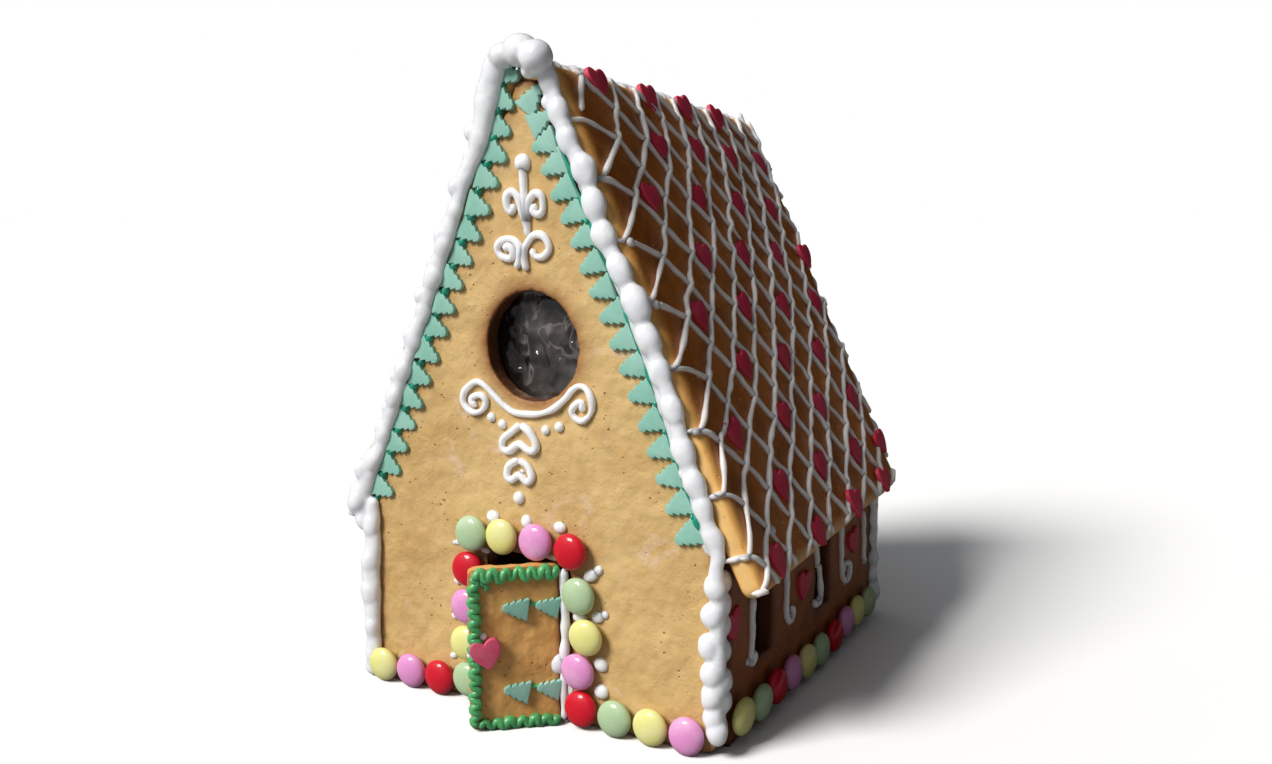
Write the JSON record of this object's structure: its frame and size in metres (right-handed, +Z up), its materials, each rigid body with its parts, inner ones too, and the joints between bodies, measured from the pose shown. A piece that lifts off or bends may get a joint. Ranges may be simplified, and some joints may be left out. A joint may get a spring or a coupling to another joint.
{
  "type": "gingerbread house",
  "caption": "Hollow gingerbread house with a steep iced roof, piped white icing, sugar-coated candies, a round window and a small door ajar.",
  "frame": {"origin": "on the ground, midway between the two long walls and midway between the open door's edge and the back; that is the centre of the object's box to within 1.5 mm, because the right roof panel reaches a little further out than the left one", "axes": "+Z up; the front with the door and the round window faces -Y; +X to the right as seen from the front"},
  "size_m": [0.1921, 0.2046, 0.2609],
  "materials": {
    "biscuit": "baked, rough and pitted",
    "roof_biscuit": "baked darker, slightly shiny",
    "door_biscuit": "baked darker",
    "icing": "hardened sugar icing",
    "film": "crinkled clear film",
    "green": "polished sugar shell",
    "yellow": "polished sugar shell",
    "pink": "polished sugar shell",
    "red": "polished sugar shell"
  },
  "bodies": {
    "root": {"back_gable": "biscuit", "back_left_corner": "icing", "back_peak": "icing", "back_right_corner": "icing", "back_rope_left": "icing", "back_rope_right": "icing", "door": "door_biscuit", "front_gable": "biscuit", "front_left_candy_1": "yellow", "front_left_candy_2": "pink", "front_left_candy_3": "red", "front_left_corner": "icing", "front_peak": "icing", "front_right_candy_1": "green", "front_right_candy_2": "yellow", "front_right_candy_3": "pink", "front_right_corner": "icing", "front_rope_left": "icing", "front_rope_right": "icing", "left_jamb_candy_1": "green", "left_jamb_candy_2": "yellow", "left_jamb_candy_3": "pink", "left_jamb_candy_4": "red", "left_pane_1": "film", "left_pane_2": "film", "left_roof": "roof_biscuit", "left_row_candy_1": "pink", "left_row_candy_2": "yellow", "left_row_candy_3": "green", "left_row_candy_4": "red", "left_row_candy_5": "pink", "left_row_candy_6": "yellow", "left_row_candy_7": "green", "left_row_candy_8": "red", "left_row_candy_9": "yellow", "left_wall": "biscuit", "lintel_candy_1": "green", "lintel_candy_2": "yellow", "lintel_candy_3": "pink", "lintel_candy_4": "red", "ridge_icing": "icing", "right_jamb_candy_1": "red", "right_jamb_candy_2": "pink", "right_jamb_candy_3": "yellow", "right_jamb_candy_4": "green", "right_pane_1": "film", "right_pane_2": "film", "right_roof": "roof_biscuit", "right_row_candy_1": "yellow", "right_row_candy_10": "green", "right_row_candy_2": "green", "right_row_candy_3": "red", "right_row_candy_4": "pink", "right_row_candy_5": "yellow", "right_row_candy_6": "green", "right_row_candy_7": "red", "right_row_candy_8": "pink", "right_row_candy_9": "yellow", "right_wall": "biscuit", "round_pane": "film"}
  },
  "joints": []
}
